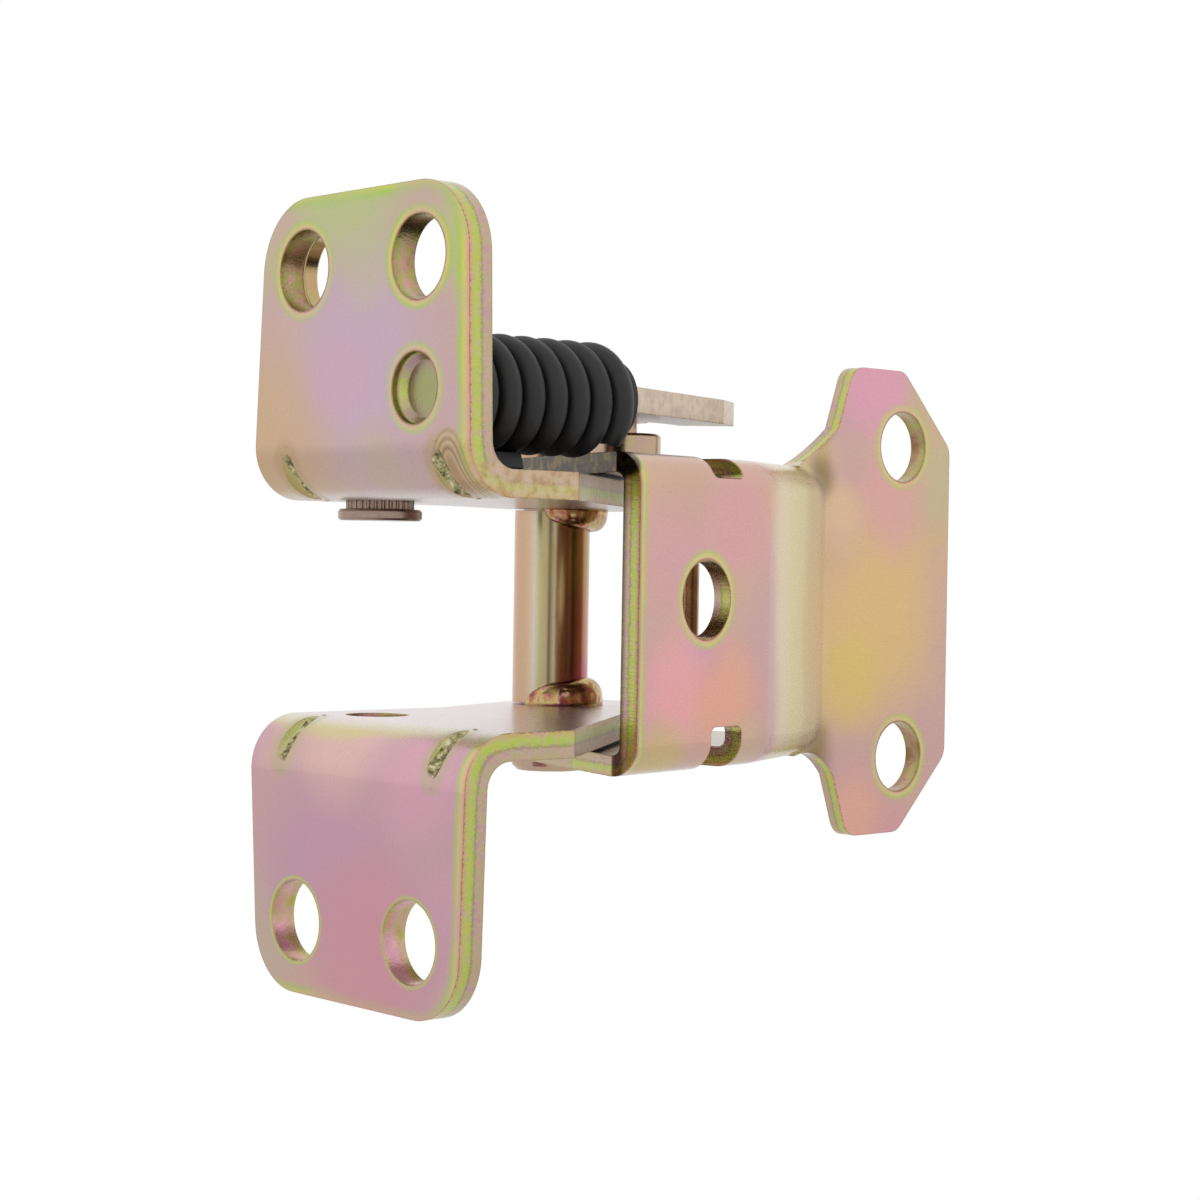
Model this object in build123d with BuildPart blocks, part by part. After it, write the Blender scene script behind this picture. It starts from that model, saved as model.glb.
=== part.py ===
from build123d import *
from math import atan2, cos, degrees, hypot, radians, sin, tan
import os

os.makedirs("parts", exist_ok=True)

# Frame: X is the normal of the pillar plates, Z runs along the hinge pin, and the
# origin is the middle of the pillar bolt pattern on the face that meets the pillar.

# Clearances
run_fit = 0.05
slip_gap = 0.3
washer_gap = 0.05

# Pillar brackets
pillar_sheet = 4.0
pillar_width = 51.2
plate_top = 58.7
plate_bottom = -58.7
flange_span_top = 18.4
flange_span_bottom = -22.1
bend_inner = 4.0
bolt_hole = 12.0
bolt_pitch_y = 27.3
bolt_pitch_z = 96.0
upper_corner = 11.0
lower_corner = 10.0
plate_taper_near = 1.0
plate_taper_far = 2.2
flange_straight = 19.8
flange_corner = 3.0
flange_far_straight = 37.0
flange_end_radius = 12.0
flange_end_shift_x = 5.0
flange_end_shift_y = -1.6
dart_radius = 1.7
dart_depth = 1.5
dart_rib_length = 11.2
dart_dent_length = 18.0
dart_inset = 7.6
twin_hole = 9.6

# Half sheared spring seat in the upper plate
dimple_dia = 10.2
dimple_wall = 0.95
dimple_bevel = 1.05
dimple_inset = 12.5
dimple_z = 29.7
boss_dia = 8.8

# Hinge pin and the tube between the flanges
pin_x = 60.0
pin_y = 25.9
pin_dia = 8.0
tube_outer = 12.6
tube_gap = 0.3
bush_wall = 0.8
bush_length = 8.0
bush_flange_dia = 15.0
pin_head_dia = 12.4
pin_head_height = 3.3
pin_rivet_height = 2.2
pin_head_break = 0.8
weld_leg = 2.6
weld_crown = 1.6
weld_sweep = 215.0
weld_turn = -50.0

# Door bracket
door_sheet = 3.1
thrust_gap = 0.6
web_start = (33.9, -23.5)
web_angle = 10.5
web_length = 34.5
ramp_angle = 24.5
ramp_length = 28.4
mount_angle = 2.0
mount_hole = 12.0
mount_hole_pitch = 53.4
mount_hole_from_fold = 19.7
mount_edge = 12.9
mount_middle = -0.35
mount_half_height = 39.75
mount_waist = 26.9
mount_chamfer = 12.9
mount_wing_top = 13.3
mount_wing_root = 17.1
mount_neck = 29.2
mount_flare_rise = 25.3
mount_back = 28.0
mount_height = 84.0
cove_radius = 5.0
mount_corner = 3.5
door_eye_radius = 13.0
channel_bend = 4.5
web_hole_height = 11.6
web_hole_width = 12.8
web_hole_from_start = 17.4
web_hole_z = 0.3
slot_start = 19.1
slot_width = 8.2
slot_high = 18.8
slot_low = -19.2
slot_corner = 1.2
slot_depth = 9.0

# Check mechanism
stud_x = 15.7
stud_y = 15.05
stud_neck_dia = 10.4
stud_neck_height = 1.2
stud_head_dia = 12.8
stud_head_height = 1.7
stud_shoulder_dia = 9.0
stud_journal_dia = 7.0
stud_cap_dia = 9.5
stud_cap_height = 1.6
stud_break = 0.35
serration_count = 28
serration_depth = 0.45
lever_sheet = 3.9
lever_lift = 0.6
lever_eye_radius = 8.0
lever_near_x = 71.3
lever_near_y = -2.95
lever_near_angle = 19.8
lever_tip = (77.0, 0.5)
lever_seat_reach = 8.6
cam_from = 215.0
cam_to = 300.0
cam_gap = 0.3
spring_outer = 17.2
spring_wire = 3.9
spring_turns = 6.4
seat_flange = 1.0
seat_dia = 12.6
seat_plug_dia = 8.6
seat_plug = 4.0
spring_end_x = 36.0
roller_reach = 17.5
roller_angle = 270.0
roller_dia = 8.0
roller_pin_dia = 4.0
roller_collar_dia = 11.8
roller_collar_gap = 1.85
post_dia = 5.0
post_reach = 23.0
post_angle = -59.2
roller_cap_dia = 6.6
roller_cap_height = 1.1
roller_break = 0.4

# Collar behind the far upper bolt hole
collar_outer = 20.0
collar_height = 3.0
collar_break = 0.4

# Derived levels
upper_flange_bottom = flange_span_top - pillar_sheet
lower_flange_top = flange_span_bottom + pillar_sheet
bend_outer = bend_inner + pillar_sheet
tube_low = lower_flange_top + tube_gap
tube_high = upper_flange_bottom - tube_gap
channel_in_top = flange_span_top + thrust_gap
channel_in_bottom = flange_span_bottom - thrust_gap
channel_top = channel_in_top + door_sheet
channel_bottom = channel_in_bottom - door_sheet
channel_height = channel_top - channel_bottom
bush_bore = pin_dia + 2 * run_fit
bush_outer = bush_bore + 2 * bush_wall
lever_low = dimple_z + lever_lift - lever_sheet / 2
lever_high = lever_low + lever_sheet
half_width = pillar_width / 2
dimple_y = dimple_inset - half_width
dimple_depth = dimple_wall + dimple_bevel
channel_middle = (channel_top + channel_bottom) / 2
roller_low = lever_low
roller_collar_height = roller_low - roller_collar_gap - channel_top
roller_high = lever_high - roller_cap_height - washer_gap


def polar(point, angle, length):
    return (point[0] + length * cos(radians(angle)), point[1] + length * sin(radians(angle)))


# Corners of the door bracket's outer face, seen from above
web_end = polar(web_start, web_angle, web_length)
ramp_end = polar(web_end, ramp_angle, ramp_length)
roller_xy = polar((pin_x, pin_y), roller_angle, roller_reach)
post_xy = polar((pin_x, pin_y), post_angle, post_reach)
mount_holes_xy = polar(ramp_end, mount_angle, mount_hole_from_fold)
web_plane = Plane(
    origin=(web_start[0], web_start[1], 0),
    x_dir=(cos(radians(web_angle)), sin(radians(web_angle)), 0),
    z_dir=(sin(radians(web_angle)), -cos(radians(web_angle)), 0),
)
mount_plane = Plane(
    origin=(mount_holes_xy[0], mount_holes_xy[1], 0),
    x_dir=(cos(radians(mount_angle)), sin(radians(mount_angle)), 0),
    z_dir=(sin(radians(mount_angle)), -cos(radians(mount_angle)), 0),
)


def tangent_point(point, centre, radius, side):
    # Where a line from the point touches the circle, on the right (-1) or left (1)
    dx, dy = centre[0] - point[0], centre[1] - point[1]
    reach = hypot(dx, dy)
    length = (reach**2 - radius**2) ** 0.5
    angle = degrees(atan2(dy, dx)) + side * degrees(atan2(radius, length))
    return polar(point, angle, length)


def disc(centre, diameter, level):
    # A round sketch about a vertical axis
    with BuildSketch(Plane.XY.offset(level)) as face:
        with Locations(centre):
            Circle(diameter / 2)
    return face.sketch


def flange_outline(level):
    # Straight near edge, diagonal to the rounded end, then back along the far side
    centre = (pin_x + flange_end_shift_x, pin_y + flange_end_shift_y)
    start = (flange_straight, -half_width)
    back = (flange_far_straight, half_width)
    first = tangent_point(start, centre, flange_end_radius, -1)
    last = tangent_point(back, centre, flange_end_radius, 1)
    tip = polar(centre, 20, flange_end_radius)
    with BuildSketch(Plane.XY.offset(level)) as outline:
        with BuildLine():
            Polyline((0, half_width), (0, -half_width), start, first)
            ThreePointArc(first, tip, last)
            Polyline(last, back, (0, half_width))
        make_face()
        fillet(outline.vertices().sort_by_distance((*start, level))[0], flange_corner)
    return outline.sketch


def plate_outline(level, side, plate_end, corner):
    # Upright plate, a little narrower at its free end, seen along X
    shoulder = level + side * bend_outer
    with BuildSketch(Plane.YZ.offset(-1)) as outline:
        with BuildLine():
            Polyline(
                (-half_width, level),
                (-half_width, shoulder),
                (-half_width + plate_taper_near, plate_end),
                (half_width - plate_taper_far, plate_end),
                (half_width, shoulder),
                (half_width, level),
                (-half_width, level),
            )
        make_face()
        ends = outline.vertices().group_by(Axis.Y)
        fillet(ends[-1] if side > 0 else ends[0], corner)
    return outline.sketch


def bent_sheet(level, side, plate_end, corner):
    # One bent sheet: level is the outer face of the bend, side is 1 for the upper one
    reach = pin_x + flange_end_shift_x + flange_end_radius + 5
    with BuildPart() as sheet:
        with BuildSketch(Plane.XZ):
            with BuildLine():
                Polyline(
                    (0, level),
                    (0, plate_end + side * 5),
                    (pillar_sheet, plate_end + side * 5),
                    (pillar_sheet, level + side * pillar_sheet),
                    (reach, level + side * pillar_sheet),
                    (reach, level),
                    (0, level),
                )
            make_face()
        extrude(amount=pillar_width, both=True)
        corners = sheet.edges().filter_by(Axis.Y)
        fillet(corners.sort_by_distance((0, 0, level))[0], bend_outer)
        corners = sheet.edges().filter_by(Axis.Y)
        inside = (pillar_sheet, 0, level + side * pillar_sheet)
        fillet(corners.sort_by_distance(inside)[0], bend_inner)
        with BuildPart(mode=Mode.PRIVATE) as outline:
            extrude(plate_outline(level, side, plate_end, corner), amount=bend_outer + 1)
            extrude(flange_outline(level), amount=side * bend_outer)
        add(outline.part, mode=Mode.INTERSECT)
    return sheet.part


def dart_rod(level, side, y, reach, length):
    # Rod lying across the bend at 45 degrees, its crown at the given distance inside
    out = Vector(1, 0, side).normalized()
    along = Vector(1, 0, -side).normalized()
    middle = Vector(0, y, level) + out * (bend_outer * (2**0.5 - 1) + reach - dart_radius)
    with BuildPart() as rod:
        with BuildSketch(Plane(origin=middle - along * (length / 2), z_dir=along)):
            Circle(dart_radius)
        extrude(amount=length)
    return rod.part


bolt_high = [(y, bolt_pitch_z / 2) for y in (-bolt_pitch_y / 2, bolt_pitch_y / 2)]
bolt_low = [(y, -bolt_pitch_z / 2) for y in (-bolt_pitch_y / 2, bolt_pitch_y / 2)]
dart_places = (-half_width + dart_inset, half_width - dart_inset)
pin_xy = (pin_x, pin_y)
stud_xy = (stud_x, stud_y)

# Upper pillar bracket with the half sheared seat for the spring
with BuildPart() as pillar_bracket_upper:
    add(bent_sheet(upper_flange_bottom, 1, plate_top, upper_corner))
    for y in dart_places:
        add(dart_rod(upper_flange_bottom, 1, y, pillar_sheet + dart_depth, dart_rib_length))
    for y in dart_places:
        add(dart_rod(upper_flange_bottom, 1, y, dart_depth, dart_dent_length), mode=Mode.SUBTRACT)
    with BuildSketch(Plane.YZ.offset(-1)):
        with Locations(*bolt_high):
            Circle(bolt_hole / 2)
    extrude(amount=pillar_sheet + 2, mode=Mode.SUBTRACT)
    with BuildSketch(Plane.YZ.offset(pillar_sheet / 2)):
        with Locations((dimple_y, dimple_z)):
            Circle(boss_dia / 2)
    extrude(amount=pillar_sheet / 2 + dimple_depth)
    with BuildSketch(Plane.YZ):
        with Locations((dimple_y, dimple_z)):
            Circle(dimple_dia / 2)
    extrude(amount=dimple_wall, mode=Mode.SUBTRACT)
    with BuildSketch(Plane.YZ.offset(dimple_wall)):
        with Locations((dimple_y, dimple_z)):
            Circle(dimple_dia / 2)
    extrude(amount=dimple_bevel, taper=45, mode=Mode.SUBTRACT)
    extrude(disc(pin_xy, bush_outer, upper_flange_bottom), amount=pillar_sheet, mode=Mode.SUBTRACT)
    extrude(disc(stud_xy, twin_hole, upper_flange_bottom), amount=pillar_sheet, mode=Mode.SUBTRACT)
pillar_bracket_upper.part.label = "pillar_bracket_upper"
export_step(pillar_bracket_upper.part, "parts/pillar_bracket_upper.step")

# Lower pillar bracket, with the same hole left empty
with BuildPart() as pillar_bracket_lower:
    add(bent_sheet(lower_flange_top, -1, plate_bottom, lower_corner))
    for y in dart_places:
        add(dart_rod(lower_flange_top, -1, y, pillar_sheet + dart_depth, dart_rib_length))
    for y in dart_places:
        add(dart_rod(lower_flange_top, -1, y, dart_depth, dart_dent_length), mode=Mode.SUBTRACT)
    with BuildSketch(Plane.YZ.offset(-1)):
        with Locations(*bolt_low):
            Circle(bolt_hole / 2)
    extrude(amount=pillar_sheet + 2, mode=Mode.SUBTRACT)
    extrude(disc(pin_xy, bush_outer, flange_span_bottom), amount=pillar_sheet, mode=Mode.SUBTRACT)
    extrude(disc(stud_xy, twin_hole, flange_span_bottom), amount=pillar_sheet, mode=Mode.SUBTRACT)
pillar_bracket_lower.part.label = "pillar_bracket_lower"
export_step(pillar_bracket_lower.part, "parts/pillar_bracket_lower.step")

# Collar behind the far upper bolt hole
with BuildPart() as bolt_collar:
    with BuildSketch(Plane.YZ.offset(pillar_sheet)):
        with Locations(bolt_high[1]):
            Circle(collar_outer / 2)
            Circle(bolt_hole / 2, mode=Mode.SUBTRACT)
    extrude(amount=collar_height)
    chamfer(bolt_collar.edges().filter_by(GeomType.CIRCLE), collar_break)
bolt_collar.part.label = "bolt_collar"
export_step(bolt_collar.part, "parts/bolt_collar.step")

# Tube that ties the two flanges together
with BuildPart() as pivot_tube:
    extrude(disc(pin_xy, tube_outer, tube_low), amount=tube_high - tube_low)
    extrude(disc(pin_xy, bush_outer, tube_low), amount=tube_high - tube_low, mode=Mode.SUBTRACT)
pivot_tube.part.label = "pivot_tube"
export_step(pivot_tube.part, "parts/pivot_tube.step")


def weld_bead(level, side):
    # Convex fillet bead in the corner between a flange face and the tube
    wall = tube_outer / 2
    top = level + side * (weld_leg + tube_gap)
    first = weld_turn - weld_sweep / 2
    bead_plane = Plane(
        origin=(pin_x, pin_y, 0),
        x_dir=(cos(radians(first)), sin(radians(first)), 0),
        z_dir=(sin(radians(first)), -cos(radians(first)), 0),
    )
    with BuildPart() as bead:
        with BuildSketch(bead_plane):
            with BuildLine():
                Line((wall, level), (wall, top))
                ThreePointArc(
                    (wall, top),
                    (wall + weld_crown, level + side * weld_crown),
                    (wall + weld_leg, level),
                )
                Line((wall + weld_leg, level), (wall, level))
            make_face()
        revolve(axis=Axis((pin_x, pin_y, 0), (0, 0, 1)), revolution_arc=weld_sweep)
    return bead.part


# A weld bead at each end of the tube, round the side that faces the web
with BuildPart() as tube_weld_upper:
    add(weld_bead(upper_flange_bottom, -1))
tube_weld_upper.part.label = "tube_weld_upper"
export_step(tube_weld_upper.part, "parts/tube_weld_upper.step")

with BuildPart() as tube_weld_lower:
    add(weld_bead(lower_flange_top, 1))
tube_weld_lower.part.label = "tube_weld_lower"
export_step(tube_weld_lower.part, "parts/tube_weld_lower.step")


def flanged_bush(face, side):
    # Bush whose shank runs from the flange's face into the eye and the tube
    rim = thrust_gap - washer_gap
    with BuildPart() as bush:
        extrude(disc(pin_xy, bush_outer, face), amount=side * bush_length)
        extrude(disc(pin_xy, bush_flange_dia, face), amount=-side * rim)
        bore = disc(pin_xy, bush_bore, face - side * rim)
        extrude(bore, amount=side * (bush_length + rim), mode=Mode.SUBTRACT)
    return bush.part


with BuildPart() as pin_bush_upper:
    add(flanged_bush(flange_span_top, -1))
pin_bush_upper.part.label = "pin_bush_upper"
export_step(pin_bush_upper.part, "parts/pin_bush_upper.step")

with BuildPart() as pin_bush_lower:
    add(flanged_bush(flange_span_bottom, 1))
pin_bush_lower.part.label = "pin_bush_lower"
export_step(pin_bush_lower.part, "parts/pin_bush_lower.step")

# Hinge pin, held in the door bracket's eyes, with a formed head at each end
with BuildPart() as hinge_pin:
    extrude(disc(pin_xy, pin_dia, channel_bottom), amount=channel_height)
    extrude(disc(pin_xy, pin_head_dia, channel_bottom), amount=-pin_head_height)
    extrude(disc(pin_xy, pin_head_dia, channel_top), amount=pin_rivet_height)
    rims = hinge_pin.edges().filter_by(GeomType.CIRCLE).sort_by(Axis.Z)
    chamfer([rims[0], rims[-1]], pin_head_break)
hinge_pin.part.label = "hinge_pin"
export_step(hinge_pin.part, "parts/hinge_pin.step")


def channel_block():
    # Solid outer form of the channel, from the web round to the pin's eyes
    back = polar(ramp_end, mount_angle + 90, door_sheet)
    end_inside = polar(web_start, web_angle + 90, channel_bend)
    eye_right = tangent_point(back, pin_xy, door_eye_radius, -1)
    eye_left = tangent_point(end_inside, pin_xy, door_eye_radius, 1)
    with BuildPart() as block:
        with BuildSketch(Plane.XY.offset(channel_bottom)):
            with BuildLine():
                Polyline(eye_left, end_inside, web_start, web_end, ramp_end, back, eye_right)
                ThreePointArc(eye_right, polar(pin_xy, 130, door_eye_radius), eye_left)
            make_face()
        extrude(amount=channel_height)
    return block.part


def channel_hollow():
    # Room inside the channel, open to the left and to the back
    inner_start = polar(polar(web_start, web_angle + 90, door_sheet), web_angle, -web_length)
    fold = radians(ramp_angle - web_angle) / 2
    inner_bend = polar(web_end, (web_angle + ramp_angle) / 2 + 90, door_sheet / cos(fold))
    fold = radians(ramp_angle - mount_angle) / 2
    inner_end = polar(ramp_end, (mount_angle + ramp_angle) / 2 + 90, door_sheet / cos(fold))
    reach = 3 * door_eye_radius + mount_edge + web_length
    right = polar(inner_end, mount_angle, reach)
    with BuildPart() as hollow:
        with BuildSketch(Plane.XY.offset(channel_in_bottom)):
            with BuildLine():
                Polyline(
                    inner_start,
                    inner_bend,
                    inner_end,
                    right,
                    (right[0], right[1] + reach),
                    (inner_start[0], right[1] + reach),
                    inner_start,
                )
            make_face()
        extrude(amount=channel_in_top - channel_in_bottom)
        inside = hollow.edges().filter_by(lambda e: e.length > web_length - 10 and e.center().Y < web_end[1] + 15)
        inside = inside.filter_by(lambda e: abs(e.center().Z) > 5)
        fillet(inside.filter_by(lambda e: e.center().X < ramp_end[0]), channel_bend - door_sheet)
    return hollow.part


def mount_surround(side, level):
    # What is cut away above or below the mounting flange, down to the channel's level
    rows = [mount_middle + side * rise for rise in (mount_waist, mount_half_height, mount_neck)]
    corners = [
        (mount_edge, rows[0]),
        (mount_edge - mount_chamfer, rows[1]),
        (-mount_wing_top, rows[1]),
    ]
    root = (-mount_wing_root, rows[2])
    flare = (-(mount_wing_root + mount_back) / 2, mount_middle + side * mount_flare_rise)
    beyond = mount_middle + side * mount_height
    start = (mount_edge, mount_middle)
    with BuildSketch(mount_plane.offset(-mount_back)) as surround:
        with BuildLine():
            FilletPolyline(start, *corners, root, radius=mount_corner)
            Spline(root, flare, (-mount_back, level))
            Polyline(
                (-mount_back, level),
                (-mount_back - 1, level),
                (-mount_back - 1, beyond),
                (mount_edge + 1, beyond),
                (mount_edge + 1, mount_middle),
                start,
            )
        make_face()
    return surround.sketch


# Door bracket: one stamped channel that runs out into the mounting flange
with BuildPart() as door_bracket:
    add(channel_block())
    folds = door_bracket.edges().filter_by(lambda e: abs(e.center().Z - channel_middle) > 5)
    door_folds = [
        folds.sort_by_distance((*polar(start, angle, length / 2), level))[0]
        for level in (channel_top, channel_bottom)
        for start, angle, length in ((web_start, web_angle, web_length), (web_end, ramp_angle, ramp_length))
    ]
    fillet(door_folds, channel_bend)
    with BuildSketch(mount_plane):
        with Locations(((mount_edge - mount_back) / 2, mount_middle)):
            Rectangle(mount_edge + mount_back, mount_height)
    extrude(amount=-door_sheet)
    roots = door_bracket.edges().filter_by(
        lambda e: abs(mount_plane.to_local_coords(e.center()).Z) < 0.01
        and abs(e.center().Z - channel_middle) < channel_height / 2 + 0.01
        and mount_plane.to_local_coords(e.center()).X < 1 - mount_hole_from_fold
        and mount_plane.to_local_coords(e.center()).X > 0.01 - mount_back
    )
    fillet(roots, cove_radius)
    extrude(mount_surround(1, channel_top), amount=2 * mount_back, mode=Mode.SUBTRACT)
    extrude(mount_surround(-1, channel_bottom), amount=2 * mount_back, mode=Mode.SUBTRACT)
    add(channel_hollow(), mode=Mode.SUBTRACT)
    with BuildSketch(mount_plane):
        with Locations((0, mount_middle + mount_hole_pitch / 2), (0, mount_middle - mount_hole_pitch / 2)):
            Circle(mount_hole / 2)
    extrude(amount=-door_sheet, mode=Mode.SUBTRACT)
    with BuildSketch(web_plane):
        with Locations((web_hole_from_start, web_hole_z)):
            SlotOverall(web_hole_width, web_hole_height)
    extrude(amount=-door_sheet, mode=Mode.SUBTRACT)
    for level, tall in ((channel_top, channel_top - slot_high), (channel_bottom, slot_low - channel_bottom)):
        with BuildSketch(web_plane):
            with Locations((slot_start + slot_width / 2, level)):
                RectangleRounded(slot_width, 2 * tall, slot_corner)
        extrude(amount=-slot_depth, mode=Mode.SUBTRACT)
    for level in (channel_top - door_sheet, channel_bottom):
        extrude(disc(pin_xy, pin_dia, level), amount=door_sheet, mode=Mode.SUBTRACT)
        extrude(disc(post_xy, post_dia, level), amount=door_sheet, mode=Mode.SUBTRACT)
    extrude(disc(roller_xy, roller_pin_dia, channel_in_top), amount=door_sheet, mode=Mode.SUBTRACT)
door_bracket.part.label = "door_bracket"
export_step(door_bracket.part, "parts/door_bracket.step")

# Post that ties the channel's two sides together, riveted flush in both
with BuildPart() as channel_post:
    extrude(disc(post_xy, post_dia, channel_bottom), amount=channel_height)
channel_post.part.label = "channel_post"
export_step(channel_post.part, "parts/channel_post.step")

# Serrated stud pressed into the upper flange, the lever's pivot
with BuildPart() as lever_stud:
    head_top = upper_flange_bottom - stud_neck_height
    extrude(disc(stud_xy, stud_head_dia, head_top), amount=-stud_head_height)
    chamfer(lever_stud.edges().filter_by(GeomType.CIRCLE), stud_break)
    extrude(disc(stud_xy, stud_neck_dia, head_top), amount=stud_neck_height)
    with BuildSketch(Plane.XY.offset(head_top)):
        with Locations(stud_xy):
            with PolarLocations(stud_neck_dia / 2, serration_count):
                Circle(serration_depth)
    extrude(amount=stud_neck_height, mode=Mode.SUBTRACT)
    extrude(disc(stud_xy, twin_hole, upper_flange_bottom), amount=pillar_sheet)
    shoulder = lever_low - washer_gap - flange_span_top
    extrude(disc(stud_xy, stud_shoulder_dia, flange_span_top), amount=shoulder)
    journal = lever_sheet + 2 * washer_gap
    extrude(disc(stud_xy, stud_journal_dia, lever_low - washer_gap), amount=journal)
    extrude(disc(stud_xy, stud_cap_dia, lever_high + washer_gap), amount=stud_cap_height)
    chamfer(lever_stud.edges().filter_by(GeomType.CIRCLE).sort_by(Axis.Z)[-1], stud_break)
lever_stud.part.label = "lever_stud"
export_step(lever_stud.part, "parts/lever_stud.step")


def lever_near(x):
    # Height in Y of the lever's straight near edge
    return lever_near_y + (x - lever_near_x) * tan(radians(lever_near_angle))


# Check lever: a flat plate from the stud past the spring to the roller
with BuildPart() as check_lever:
    seat_x = spring_end_x + seat_flange
    seat_top = (seat_x, dimple_y + lever_seat_reach)
    eye_near = tangent_point(seat_top, stud_xy, lever_eye_radius, 1)
    cam_radius = roller_reach + roller_dia / 2 + cam_gap
    cam_start = polar(pin_xy, cam_from, cam_radius)
    cam_middle = polar(pin_xy, (cam_from + cam_to) / 2, cam_radius)
    cam_end = polar(pin_xy, cam_to, cam_radius)
    eye_far = tangent_point(cam_start, stud_xy, lever_eye_radius, -1)
    with BuildSketch(Plane.XY.offset(lever_low)) as lever_face:
        with BuildLine():
            Polyline(
                eye_near,
                seat_top,
                (seat_x, lever_near(seat_x)),
                (lever_near_x, lever_near_y),
                lever_tip,
                cam_end,
            )
            ThreePointArc(cam_end, cam_middle, cam_start)
            Line(cam_start, eye_far)
            ThreePointArc(eye_far, polar(stud_xy, 180, lever_eye_radius), eye_near)
        make_face()
        with Locations(stud_xy):
            Circle(stud_journal_dia / 2 + run_fit, mode=Mode.SUBTRACT)
    extrude(amount=lever_sheet)
check_lever.part.label = "check_lever"
export_step(check_lever.part, "parts/check_lever.step")

spring_radius = (spring_outer - spring_wire) / 2
spring_start_x = pillar_sheet + slip_gap
spring_length = spring_end_x - slip_gap - spring_start_x
spring_foot = (spring_start_x + spring_wire / 2, dimple_y, dimple_z)

# Compression spring between the plate's boss and its seat on the lever
with BuildPart() as check_spring:
    pitch = (spring_length - spring_wire) / spring_turns
    with BuildLine() as coil:
        Helix(pitch, spring_length - spring_wire, spring_radius, center=spring_foot, direction=(1, 0, 0))
    with BuildSketch(Plane(origin=coil.line @ 0, z_dir=coil.line % 0)):
        Circle(spring_wire / 2)
    sweep(path=coil.line, is_frenet=True)
check_spring.part.label = "check_spring"
export_step(check_spring.part, "parts/check_spring.step")

# Moulded seat between the spring and the lever's edge
with BuildPart() as spring_seat:
    with BuildSketch(Plane.YZ.offset(spring_end_x)):
        with Locations((dimple_y, dimple_z)):
            Circle(seat_dia / 2)
    extrude(amount=seat_flange - washer_gap)
    with BuildSketch(Plane.YZ.offset(spring_end_x)):
        with Locations((dimple_y, dimple_z)):
            Circle(seat_plug_dia / 2)
    extrude(amount=-seat_plug)
spring_seat.part.label = "spring_seat"
export_step(spring_seat.part, "parts/spring_seat.step")

# Roller and its riveted pin on the door bracket
with BuildPart() as roller_pin:
    extrude(disc(roller_xy, roller_pin_dia, channel_in_top), amount=door_sheet)
    extrude(disc(roller_xy, roller_collar_dia, channel_top), amount=roller_collar_height)
    chamfer(roller_pin.edges().filter_by(GeomType.CIRCLE).sort_by(Axis.Z)[-1], collar_break)
    stem = roller_high + washer_gap - channel_top
    extrude(disc(roller_xy, roller_pin_dia, channel_top), amount=stem)
    extrude(disc(roller_xy, roller_cap_dia, roller_high + washer_gap), amount=roller_cap_height)
roller_pin.part.label = "roller_pin"
export_step(roller_pin.part, "parts/roller_pin.step")

with BuildPart() as check_roller:
    extrude(disc(roller_xy, roller_dia, roller_low), amount=roller_high - roller_low)
    bore = roller_pin_dia + 2 * run_fit
    extrude(disc(roller_xy, bore, roller_low), amount=roller_high - roller_low, mode=Mode.SUBTRACT)
    chamfer(check_roller.edges().filter_by(GeomType.CIRCLE), roller_break)
check_roller.part.label = "check_roller"
export_step(check_roller.part, "parts/check_roller.step")
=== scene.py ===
from math import cos, pi, radians, sin

import bmesh
import bpy
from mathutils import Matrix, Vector, noise


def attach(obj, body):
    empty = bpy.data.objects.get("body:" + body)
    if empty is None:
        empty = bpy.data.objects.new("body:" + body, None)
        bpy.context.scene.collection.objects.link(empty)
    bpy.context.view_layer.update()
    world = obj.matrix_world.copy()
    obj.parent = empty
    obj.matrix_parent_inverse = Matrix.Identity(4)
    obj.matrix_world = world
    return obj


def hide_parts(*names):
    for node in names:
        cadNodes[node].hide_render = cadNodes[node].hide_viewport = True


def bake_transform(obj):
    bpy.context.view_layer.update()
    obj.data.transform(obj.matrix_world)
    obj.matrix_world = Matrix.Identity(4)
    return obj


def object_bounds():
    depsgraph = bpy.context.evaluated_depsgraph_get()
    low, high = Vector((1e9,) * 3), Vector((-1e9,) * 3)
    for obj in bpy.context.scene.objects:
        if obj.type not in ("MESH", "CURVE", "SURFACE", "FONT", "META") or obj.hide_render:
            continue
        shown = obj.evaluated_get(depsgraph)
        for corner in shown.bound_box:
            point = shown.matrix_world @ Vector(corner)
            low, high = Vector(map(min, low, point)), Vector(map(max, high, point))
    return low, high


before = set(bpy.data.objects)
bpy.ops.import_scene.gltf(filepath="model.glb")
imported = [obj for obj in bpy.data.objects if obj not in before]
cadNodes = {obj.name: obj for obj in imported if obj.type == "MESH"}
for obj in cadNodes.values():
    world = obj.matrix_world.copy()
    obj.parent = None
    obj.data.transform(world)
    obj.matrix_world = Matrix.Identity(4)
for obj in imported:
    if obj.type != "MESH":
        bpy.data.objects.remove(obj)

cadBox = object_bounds()
mm = 0.001
print("frame loaded,", len(cadNodes), "nodes")


def toLinear(hexCode):
    # sRGB hex to the linear colour that the shaders want
    parts = [int(hexCode[i:i + 2], 16) / 255 for i in (1, 3, 5)]
    return [p / 12.92 if p <= 0.04045 else ((p + 0.055) / 1.055) ** 2.4 for p in parts] + [1.0]


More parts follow.
